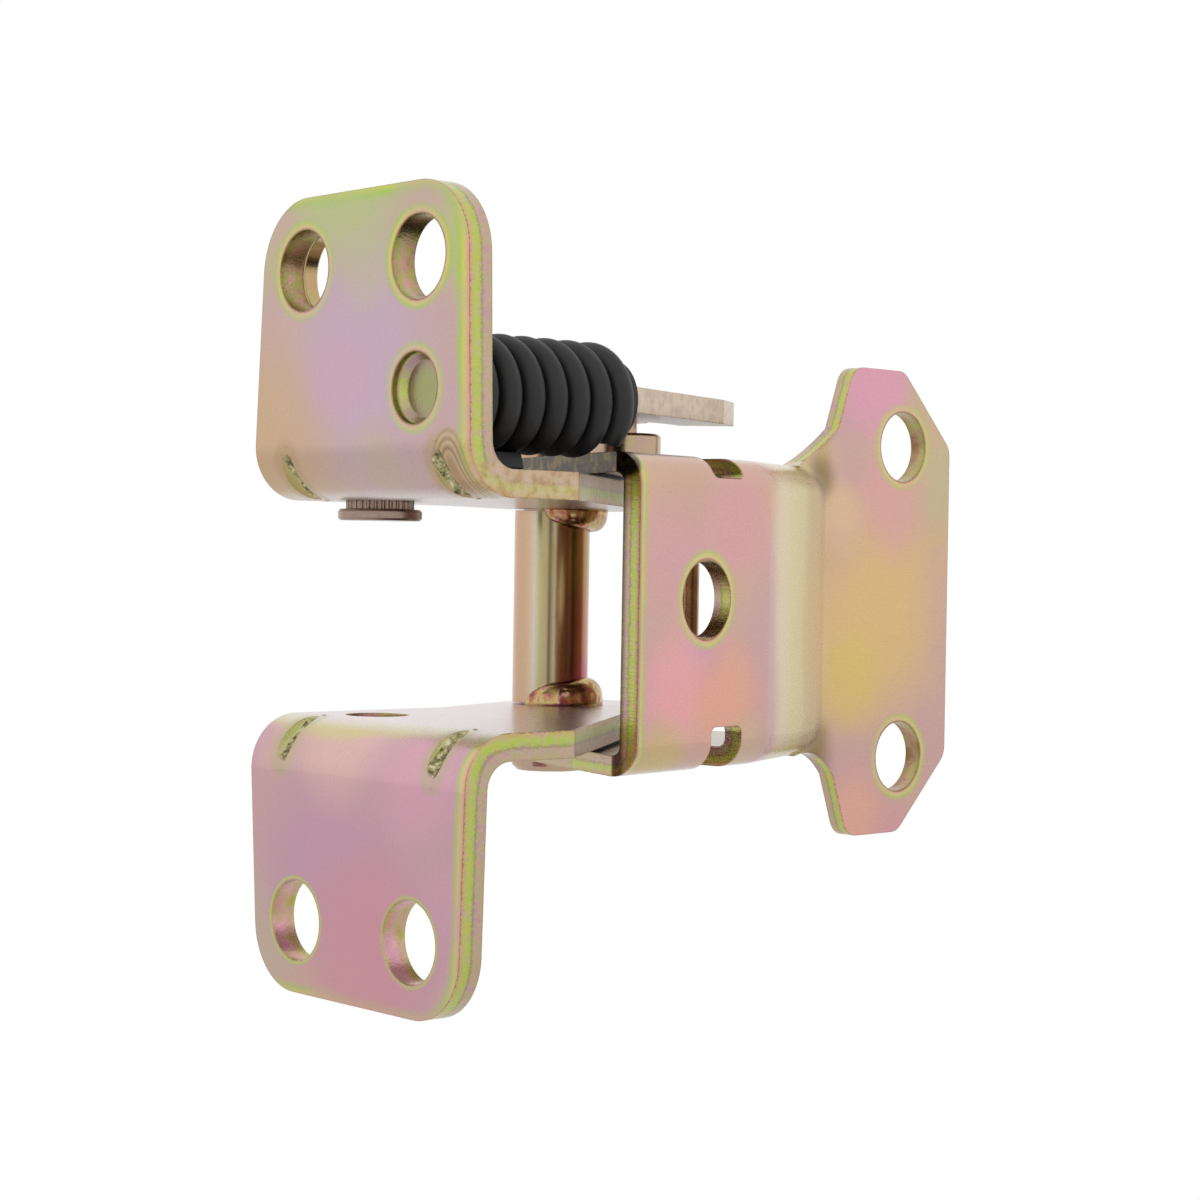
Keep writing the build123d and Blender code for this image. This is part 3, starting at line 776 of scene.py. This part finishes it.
# Lower pillar plate. To the eye: pinker all over, with narrower rims and a green glint at the bend
lowerPlateLook = zincLook | {
    "name": "passivatedZincLowerPlate",
    "base": "#cf9cab",
    "patches": [
        ("#c697ae", (0, 8, -38), 22.0, 0.85),
        ("#dcb3ae", (3, 4, -21), 13.0, 0.8),
        ("#d8a2b4", (1, -14, -27), 12.0, 0.75),
        ("#d195a0", (0, -4, -52), 20.0, 0.85),
        ("#c9b892", (0, -24, -57), 7.0, 0.5),
        ("#d29fb2", (0, -24, -42), 9.0, 0.6),
        ("#cfc684", (4.2, 0, -18.6), 3.6, 0.8, (0, 1, 0)),
    ],
    "bandWidth": 2.6,
    "bandStrength": 0.75,
    "boreBandScale": 3.2,
    "dartHalo": "#b3ae80",
    "haloStrength": 0.5,
    "wallFilmAndShade": [
        (0.0, "#a9bf4a"),
        (0.15, "#d09aa4"),
        (0.5, "#d6a3ac"),
        (0.8, "#b8a05c"),
        (1.0, "#a9c04e"),
    ],
    "wallCloudsAndShade": [(0.4, "#cf98a8"), (0.5, "#d9a8a4"), (0.58, "#b3b05c"), (0.66, "#c49a6e")],
    "outline": [
        [
            ((0, -0.9996, -0.0272), 26.29),
            ((0, 0, -1), 59.4),
            ((0.79, -0.613, 0), 31.33),
        ]
    ],
    "bores": [
        ((0, 13.65, -48), (1, 0, 0), 6.0),
        ((0, -13.65, -48), (1, 0, 0), 6.0),
        ((15.7, 15.05, 0), (0, 0, 1), 4.8),
    ],
    "outerFaces": [[((-1, 0, 0), 0), ((0, 0, 1), -18.1)]],
    "bendEase": 9.4,
    "darts": [
        ((2.2, -18.0, -20.3), (0.7071, 0, 0.7071), 2.3),
        ((2.2, 18.0, -20.3), (0.7071, 0, 0.7071), 2.3),
    ],
    "cuts": [
        {"normal": 1, "from": 0.45, "to": 0.75},
        {"normal": 0, "from": 0.6, "to": 0.4, "zone": [(2, -70.0, -26.6)]},
        {"normal": 2, "from": 0.6, "to": 0.4, "zone": [(0, 9.0, 90.0)]},
    ],
}

# Door bracket. To the eye: a salmon web, a straw ramp, a flange from gold to pink, and a brown
# inside that is painted shade
doorBracketLook = zincLook | {
    "name": "passivatedZincDoorBracket",
    "base": "#d2a28c",
    "evenness": 0.35,
    "patches": [
        ("#d39fa6", (44, -21, 7), 16.0, 0.85),
        ("#cca394", (48, -20, 18), 12.0, 0.7),
        ("#d69da4", (60, -19, 12), 14.0, 0.85),
        ("#c497b4", (50, -20, -9), 9.0, 0.7),
        ("#e8a3a8", (44, -21, -14), 13.0, 0.9),
        ("#e4a48c", (57, -19, -15), 12.0, 0.8),
        ("#cbb47c", (40, -22, -25), 9.0, 0.9),
        ("#c9b292", (62, -18, -23), 8.0, 0.7),
        ("#dbcca8", (75, -13.9, 0), 7.0, 0.85, (0, 0, 1)),
        ("#d2cb94", (80.5, -11.8, 0), 7.0, 0.85, (0, 0, 1)),
        ("#c9b884", (87, -8.6, 0), 6.0, 0.85, (0, 0, 1)),
        ("#bda66e", (92.5, -6, 0), 3.0, 0.7, (0, 0, 1)),
        ("#dcb87c", (106, -5, -4), 25.0, 0.9),
        ("#d8bd6c", (100, -5, -14), 12.0, 0.7),
        ("#d8a49e", (110, -5, 17), 13.0, 0.85),
        ("#dcb894", (97, -5, 14), 8.0, 0.7),
        ("#dc9db2", (106, -5, 36), 12.0, 0.9),
        ("#c6b08c", (120, -5, 36), 9.0, 0.8),
        ("#e0a892", (102, -5, -37), 12.0, 0.9),
        ("#d69ca0", (114, -5, -42), 11.0, 0.85),
        # painted shade: darker browns in the coves where the channel meets the flange, top and
        # bottom
        ("#7c6748", (91.5, -5, 20.5), 5.5, 0.7),
        ("#85703f", (91.5, -5, -24.5), 6.0, 0.7),
    ],
    "bandLeast": 0.55,
    # painted shade first, where the spring shades the wing's cut edge; then the web's left end,
    # darkened along its height
    "stainsAndShade": [
        ((38.0, -2.5, 20.6), (0.28, 0.96, 0), 2.6, 0.92),
        ((33.2, -20.1, 0), (0, 0, 1), 1.0, 0.75),
        ((34.0, -23.6, 0), (0, 0, 1), 0.5, 0.45),
    ],
    "wander": 6.0,
    "inside": "#7e5e3e",
    "insideStrength": 0.6,
    "folds": [((67.8, -17.2, 0), (0, 0, 1), 0.0), ((93.7, -5.4, 0), (0, 0, 1), 0.0)],
    "bandWidth": 2.2,
    "bandStrength": 0.8,
    "boreBandScale": 1.2,
    "outline": [
        [((-0.9833, -0.1822, 0), -29.0)],
        [
            ((0.9994, 0.0349, 0), 126.0),
            ((0, 0, 1), 39.4),
            ((0, 0, -1), 40.1),
            ((0.7067, 0.0247, 0.7071), 108.3),
            ((0.7067, 0.0247, -0.7071), 108.8),
            ((-0.9404, -0.0328, 0.339), -80.6),
            ((-0.9404, -0.0328, -0.339), -80.4),
        ],
    ],
    "cornerEase": 4.0,
    "bores": [
        ((113.35, -4.75, 26.35), (-0.0349, 0.9994, 0), 6.0),
        ((113.35, -4.75, -27.05), (-0.0349, 0.9994, 0), 6.0),
        ((51.0, -20.3, 0.3), (-0.1822, 0.9833, 0), 6.1),
        ((60.0, 25.9, 0), (0, 0, 1), 4.0),
    ],
    "outerFaces": [
        [
            ((0.1822, -0.9833, 0), 29.28),
            ((0.4147, -0.91, 0), 43.79),
            ((0, 0, 1), 22.1),
            ((0, 0, -1), 25.8),
        ],
        [((0.0349, -0.9994, 0), 8.7)],
    ],
    "sheet": 3.1,
    "cuts": [
        {"normal": 0, "from": 0.6, "to": 0.8},
        {"normal": 1, "from": 0.6, "to": 0.4, "zone": [(2, 22.8, 60.0)]},
        {"normal": 1, "from": 0.6, "to": 0.4, "zone": [(2, -60.0, -26.6)]},
        {"normal": 2, "from": 0.6, "to": 0.4, "zone": [(1, -8.0, 60.0), (0, 30.0, 78.0)]},
        {"normal": 2, "from": 0.6, "to": 0.4, "zone": [(1, 0.0, 60.0), (0, 78.0, 96.0)]},
    ],
    "grain": (0.12, 5.0, 5.0),
    "shear": (2.6, 0.3, 2.6),
}

# Check lever. To the eye: greyer and duller, worn evenly all along its cut edge
checkLeverLook = zincLook | {
    "name": "passivatedZincCheckLever",
    "base": "#c4b4a2",
    "evenness": 0.7,
    # painted shade: the lever's flat top and underside are darker
    "levelPaintedLight": "#8c7c70",
    "levelPaintedLightStrength": 0.6,
    "outerFaces": [[((0, 0, 1), 32.25)]],
    "sheet": 3.9,
    "cutFilm": [(0.0, "#c9b9a0"), (0.3, "#c9b6a2"), (0.6, "#c7b09c"), (1.0, "#ab927c")],
    "cutSpots": [(0.36, "#b59a92"), (0.5, "#c9b8a4"), (0.62, "#cfc3ac")],
    "spotAmount": 0.5,
    "cuts": [{"normal": 2, "from": 0.6, "to": 0.4}],
    "shear": (1.6, 1.6, 1.1),
    "cutBump": 0.35,
}

# Turned steel with the same coating. To the eye: glossier, with fine lathe lines round the axis
turnedLook = zincLook | {
    "name": "passivatedZincTurned",
    "base": "#c6a98c",
    "film": [(0.3, "#c9a184"), (0.45, "#c8b08e"), (0.6, "#bfa0a0"), (0.72, "#bdb684")],
    "cloudSize": 12.0,
    "wanderSize": 9.0,
    "wander": 4.0,
    "grain": (0.3, 0.3, 6.0),
    "gloss": (0.16, 0.24),
    "bump": 0.12,
    "edgeRound": 0.2,
}

# Rolled tube. To the eye: a dark line along it, and streaks beside it: film colours with a painted
# highlight and painted reflections of the brown channel
tubeLook = turnedLook | {
    "name": "passivatedZincTube",
    "grain": (3.0, 3.0, 0.2),
    "patches": [
        ("#b3507a", (63.0, 20.4, -15), 6.5, 0.75),
        ("#9a9444", (62.0, 20.2, 6), 9.0, 0.45),
    ],
    "streakAcross": (0.7409, -0.6716, 0),
    "streakFrom": 20.76,
    "streakWidth": 12.6,
    "filmAndPaintedLightStreaks": [
        (0.0, "#c9a082"),
        (0.2, "#dab998"),
        (0.29, "#ddd6c4"),
        (0.37, "#b9ba7e"),
        (0.45, "#b3a37c"),
        (0.485, "#46382a"),
        (0.515, "#8f8460"),
        (0.57, "#d8d2a8"),
        (0.65, "#8a6538"),
        (0.8, "#6d4426"),
        (0.9, "#a4523c"),
        (1.0, "#bd8c6c"),
    ],
}

# Ring behind the bolt hole. To the eye: brown, gold and green turn by turn, seen down the hole
collarLook = turnedLook | {
    "name": "passivatedZincCollar",
    "film": [(0.32, "#c48f6c"), (0.48, "#c9b06c"), (0.64, "#a9b352")],
    "cloudSize": 5.0,
}

# Post inside the channel. Its dark golden brown is painted shade, for the shade inside the channel
postInShadeLook = turnedLook | {
    "name": "passivatedZincPostPaintedShade",
    "film": [(0.34, "#5e4526"), (0.5, "#7d5d32"), (0.66, "#a3854c")],
    "cloudSize": 3.0,
}

# Pressed stud. To the eye: greyer and more matt than the turned pieces
studLook = turnedLook | {
    "name": "passivatedZincStud",
    "base": "#a08c82",
    "film": [(0.3, "#86705f"), (0.5, "#a8948a"), (0.7, "#b89a9c")],
    "cloudSize": 3.0,
    "gloss": (0.26, 0.36),
}


# Weld bead, puddled by hand and plated with the rest.
# To the eye: glossy lumps of gold, magenta and brown
def platedWeld(look):
    material, tree = newMaterial(look["name"])
    coord = addNode(tree, "ShaderNodeTexCoord")
    clouds = addNode(
        tree,
        "ShaderNodeTexNoise",
        {"Scale": 1 / (look["cloudSize"] * mm), "Detail": 3.0, "Vector": coord.outputs["Object"]},
    )
    film = addNode(
        tree, "ShaderNodeValToRGB", {0: clouds.outputs["Fac"]}, ramp=look["film"]
    ).outputs[0]
    pits = addNode(
        tree,
        "ShaderNodeTexNoise",
        {"Scale": 1 / (look["pitSize"] * mm), "Detail": 3.0, "Vector": coord.outputs["Object"]},
    )
    bump = addNode(
        tree,
        "ShaderNodeBump",
        {
            "Strength": look["bump"],
            "Distance": look["bumpHeight"] * mm,
            "Height": pits.outputs["Fac"],
        },
    )
    shader = addNode(
        tree,
        "ShaderNodeBsdfPrincipled",
        {
            "Metallic": 1.0,
            "Roughness": look["roughness"],
            "Base Color": film,
            "Normal": bump.outputs[0],
        },
    )
    addNode(tree, "ShaderNodeOutputMaterial", {0: shader.outputs[0]})
    return material


weldLook = {
    "name": "platedWeldBead",
    "cloudSize": 2.2,
    "pitSize": 0.7,
    "film": [
        (0.3, "#86463f"),
        (0.42, "#b98468"),
        (0.52, "#bdb370"),
        (0.6, "#b76a80"),
        (0.72, "#dfc7a4"),
    ],
    "roughness": 0.16,
    "bump": 0.35,
    "bumpHeight": 0.1,
}


# Spring steel wire in a thick matt black coating. To the eye: nearly black, slightly grainy, with
# a broad dull shine. The moulded nylon of the seat is a little lighter.
def coatedWire(look):
    material, tree = newMaterial(look["name"])
    coord = addNode(tree, "ShaderNodeTexCoord")
    grainy = addNode(
        tree,
        "ShaderNodeTexNoise",
        {"Scale": 1 / (look["grainSize"] * mm), "Detail": 4.0, "Vector": coord.outputs["Object"]},
    )
    scuffs = addNode(
        tree,
        "ShaderNodeTexNoise",
        {"Scale": 1 / (look["scuffSize"] * mm), "Detail": 2.0, "Vector": coord.outputs["Object"]},
    )
    colour = addNode(
        tree, "ShaderNodeValToRGB", {0: scuffs.outputs["Fac"]}, ramp=look["coat"]
    ).outputs[0]
    bump = addNode(
        tree,
        "ShaderNodeBump",
        {
            "Strength": look["bump"],
            "Distance": look["bumpHeight"] * mm,
            "Height": grainy.outputs["Fac"],
        },
    )
    smooth, rough = look["gloss"]
    roughness = addNode(
        tree,
        "ShaderNodeMapRange",
        {0: scuffs.outputs["Fac"], 1: noiseSpan[0], 2: noiseSpan[1], 3: smooth, 4: rough},
    ).outputs[0]
    shader = addNode(
        tree,
        "ShaderNodeBsdfPrincipled",
        {
            "IOR": look["ior"],
            "Base Color": colour,
            "Roughness": roughness,
            "Normal": bump.outputs[0],
        },
    )
    addNode(tree, "ShaderNodeOutputMaterial", {0: shader.outputs[0]})
    return material


springLook = {
    "name": "mattBlackCoatedWire",
    "grainSize": 0.3,
    "scuffSize": 6.0,
    "coat": [(0.3, "#0d0d0f"), (0.7, "#151517")],
    "gloss": (0.46, 0.58),
    "bump": 0.25,
    "bumpHeight": 0.05,
    "ior": 1.5,
}
seatLook = springLook | {"name": "mouldedNylonSeat", "coat": [(0.3, "#111112"), (0.7, "#181819")]}

turnedZinc = passivatedZinc(turnedLook)
finishes = {
    "pillar_bracket_upper": passivatedZinc(upperPlateLook),
    "pillar_bracket_lower": passivatedZinc(lowerPlateLook),
    "door_bracket": passivatedZinc(doorBracketLook),
    "check_lever": passivatedZinc(checkLeverLook),
    "lever_stud": passivatedZinc(studLook),
    "pivot_tube": passivatedZinc(tubeLook),
    "bolt_collar": passivatedZinc(collarLook),
    "channel_post": passivatedZinc(postInShadeLook),
    "check_spring": coatedWire(springLook),
    "spring_seat": coatedWire(seatLook),
    "tube_weld_upper": platedWeld(weldLook),
}
finishes["tube_weld_lower"] = finishes["tube_weld_upper"]
for name, node in cadNodes.items():
    node.data.materials.clear()
    node.data.materials.append(finishes.get(name, turnedZinc))
print("materials made:", len(bpy.data.materials))


def skinRings(mesh, rings, name):
    # closes rings of points to one smooth skin and puts it in the scene
    count = len(rings[0])
    for near, far in zip(rings, rings[1:]):
        for row in range(count):
            after = (row + 1) % count
            mesh.faces.new((near[row], near[after], far[after], far[row]))
    mesh.faces.new(rings[0])
    mesh.faces.new(list(reversed(rings[-1])))
    bmesh.ops.recalc_face_normals(mesh, faces=mesh.faces)
    data = bpy.data.meshes.new(name)
    mesh.to_mesh(data)
    mesh.free()
    for face in data.polygons:
        face.use_smooth = True
    piece = bpy.data.objects.new(name, data)
    bpy.context.scene.collection.objects.link(piece)
    return piece


beads = {
    "weldBeadUpper": {
        "stands": "tube_weld_upper",
        "level": 14.4,
        "side": -1,
        "first": -143,  # degrees round the pin, from its start to its end
        "last": 52,
        "rise": 3.7,
        "spread": 3.0,
        "seed": 3.0,
    },
    "weldBeadLower": {
        "stands": "tube_weld_lower",
        "level": -18.1,
        "side": 1,
        "first": -168,
        "last": 46,
        "rise": 4.6,
        "spread": 2.9,
        "seed": 11.0,
    },
    "tubeRadius": 6.3,
    "pin": (60.0, 25.9),
    "steps": 160,
    "rows": 18,
    "lumps": 0.2,
    "lumpCount": 4,
    "endRound": 0.4,
    "fullness": 0.8,
    "leastSize": 0.02,
    "sink": 0.05,  # of the bead's edges, into the tube and the flange
    "footSink": 0.1,
}


def layWeldBead(name, bead, look):
    # a puddled fillet bead round part of the tube: full in the middle, rounded off at its ends
    mesh = bmesh.new()
    rings = []
    for step in range(look["steps"] + 1):
        part = step / look["steps"]
        angle = radians(bead["first"] + (bead["last"] - bead["first"]) * part)
        around = Vector((cos(angle), sin(angle), 0))
        end = max(1 - (2 * part - 1) ** 2, 0.0) ** look["endRound"]
        lumpPlace = Vector((part * look["lumpCount"], bead["seed"], 0))
        lump = 1 + look["lumps"] * noise.noise(lumpPlace)
        size = max(end * lump, look["leastSize"])
        ring = []
        for row in range(look["rows"] + 1):
            turn = pi / 2 * row / look["rows"]
            spread = bead["spread"] * size * sin(turn) ** look["fullness"]
            out = look["tubeRadius"] - look["sink"] + spread
            high = bead["rise"] * size * cos(turn) ** look["fullness"] - look["sink"]
            place = around * out + Vector((*look["pin"], bead["level"] + bead["side"] * high))
            ring.append(mesh.verts.new(place * mm))
        footLevel = bead["level"] - bead["side"] * look["footSink"]
        foot = around * (look["tubeRadius"] - look["footSink"]) + Vector((*look["pin"], footLevel))
        ring.append(mesh.verts.new(foot * mm))
        rings.append(ring)
    piece = skinRings(mesh, rings, name)
    piece.data.materials.append(finishes[bead["stands"]])
    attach(piece, "pillar")
    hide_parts(bead["stands"])


for name in ("weldBeadUpper", "weldBeadLower"):
    layWeldBead(name, beads[name], beads)
print("weld beads laid")

coil = {
    "stands": "check_spring",
    "foot": (4.3, -13.1, 29.7),
    "tip": (35.9, -13.1, 29.7),
}


def bendSpring(look):
    # the lever pushes the far end of the spring; a copy of the spring's mesh stands in for it here,
    # unchanged, and the frame's spring is hidden
    frameSpring = cadNodes[look["stands"]]
    data = frameSpring.data.copy()
    data.transform(frameSpring.matrix_world)
    piece = bpy.data.objects.new("checkSpringCoil", data)
    bpy.context.scene.collection.objects.link(piece)
    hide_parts(look["stands"])
    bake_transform(piece)


bendSpring(coil)

gapBlock = {
    "middle": (-13.1, 29.7),
    "near": 9.0,
    "far": 17.5,
    "inner": 8.75,
    "outer": 11.25,
    "from": 252,  # degrees round the spring's axis
    "to": 296,
    "steps": 30,
    "round": 0.7,
    "roundSteps": 4,
    "roundAngle": 40,
}


def layGapBlock(look):
    # black curved block under the spring's first coil, resting on the flange; it fills the dark gap
    # there and is partly painted shade
    mesh = bmesh.new()
    rings = []
    for step in range(look["steps"] + 1):
        angle = radians(look["from"] + (look["to"] - look["from"]) * step / look["steps"])
        ring = []
        for along, radius in (
            (look["near"], look["inner"]),
            (look["far"], look["inner"]),
            (look["far"], look["outer"]),
            (look["near"], look["outer"]),
        ):
            y = look["middle"][0] + radius * cos(angle)
            z = look["middle"][1] + radius * sin(angle)
            ring.append(mesh.verts.new(Vector((along, y, z)) * mm))
        rings.append(ring)
    piece = skinRings(mesh, rings, "springGapBlock")
    rounding = piece.modifiers.new("rounding", "BEVEL")
    rounding.width = look["round"] * mm
    rounding.segments = look["roundSteps"]
    rounding.angle_limit = radians(look["roundAngle"])
    piece.data.materials.append(finishes["spring_seat"])
    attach(piece, "pillar")


layGapBlock(gapBlock)
print("spring cradle moulded")

studio = {
    "floorDrop": 260 * mm,
    "floorSize": 8.0,
    "floor": "#f4f4f4",
    "fill": 0.9,
}


def makeStudio(look):
    # pale floor well below the part, white to the camera, and a white room
    half = look["floorSize"] / 2
    mesh = bpy.data.meshes.new("studioFloor")
    corners = [(-half, -half, 0), (half, -half, 0), (half, half, 0), (-half, half, 0)]
    mesh.from_pydata(corners, [], [(0, 1, 2, 3)])
    floor = bpy.data.objects.new("studioFloor", mesh)
    floor.location.z = cadBox[0].z - look["floorDrop"]
    bpy.context.scene.collection.objects.link(floor)
    material, tree = newMaterial("paleFloor")
    path = addNode(tree, "ShaderNodeLightPath")
    matt = addNode(tree, "ShaderNodeBsdfDiffuse", {"Color": toLinear(look["floor"])})
    white = addNode(tree, "ShaderNodeEmission", {"Color": (1, 1, 1, 1), "Strength": 1.0})
    seen = addNode(
        tree,
        "ShaderNodeMixShader",
        {0: path.outputs["Is Camera Ray"], 1: matt.outputs[0], 2: white.outputs[0]},
    )
    addNode(tree, "ShaderNodeOutputMaterial", {0: seen.outputs[0]})
    floor.data.materials.append(material)

    world = bpy.data.worlds.new("whiteRoom")
    bpy.context.scene.world = world
    world.use_nodes = True
    tree = world.node_tree
    tree.nodes.clear()
    path = addNode(tree, "ShaderNodeLightPath")
    seen = addNode(
        tree,
        "ShaderNodeMath",
        {0: path.outputs["Is Camera Ray"], 1: path.outputs["Is Glossy Ray"]},
        operation="MAXIMUM",
    )
    seen = addNode(
        tree,
        "ShaderNodeMath",
        {0: seen.outputs[0], 1: path.outputs["Is Transmission Ray"]},
        operation="MAXIMUM",
    )
    strength = addNode(
        tree, "ShaderNodeMapRange", {0: seen.outputs[0], 1: 0.0, 2: 1.0, 3: look["fill"], 4: 1.0}
    ).outputs[0]
    room = addNode(tree, "ShaderNodeBackground", {"Color": (1, 1, 1, 1), "Strength": strength})
    addNode(tree, "ShaderNodeOutputWorld", {0: room.outputs[0]})


makeStudio(studio)

camera = {
    "place": (-215.22 * mm, -289.78 * mm, 5.93 * mm),
    "turn": (89.1003, -0.9080, -42.1867),
    "lens": 74.98,
    "sensor": 36,
}
lens = bpy.data.cameras.new("photoCamera")
lens.lens = camera["lens"]
lens.sensor_width = camera["sensor"]
photoCamera = bpy.data.objects.new("photoCamera", lens)
photoCamera.location = camera["place"]
photoCamera.rotation_euler = [radians(angle) for angle in camera["turn"]]
bpy.context.scene.collection.objects.link(photoCamera)
bpy.context.scene.camera = photoCamera
bpy.context.scene.view_settings.view_transform = "Standard"
print("studio and camera set")
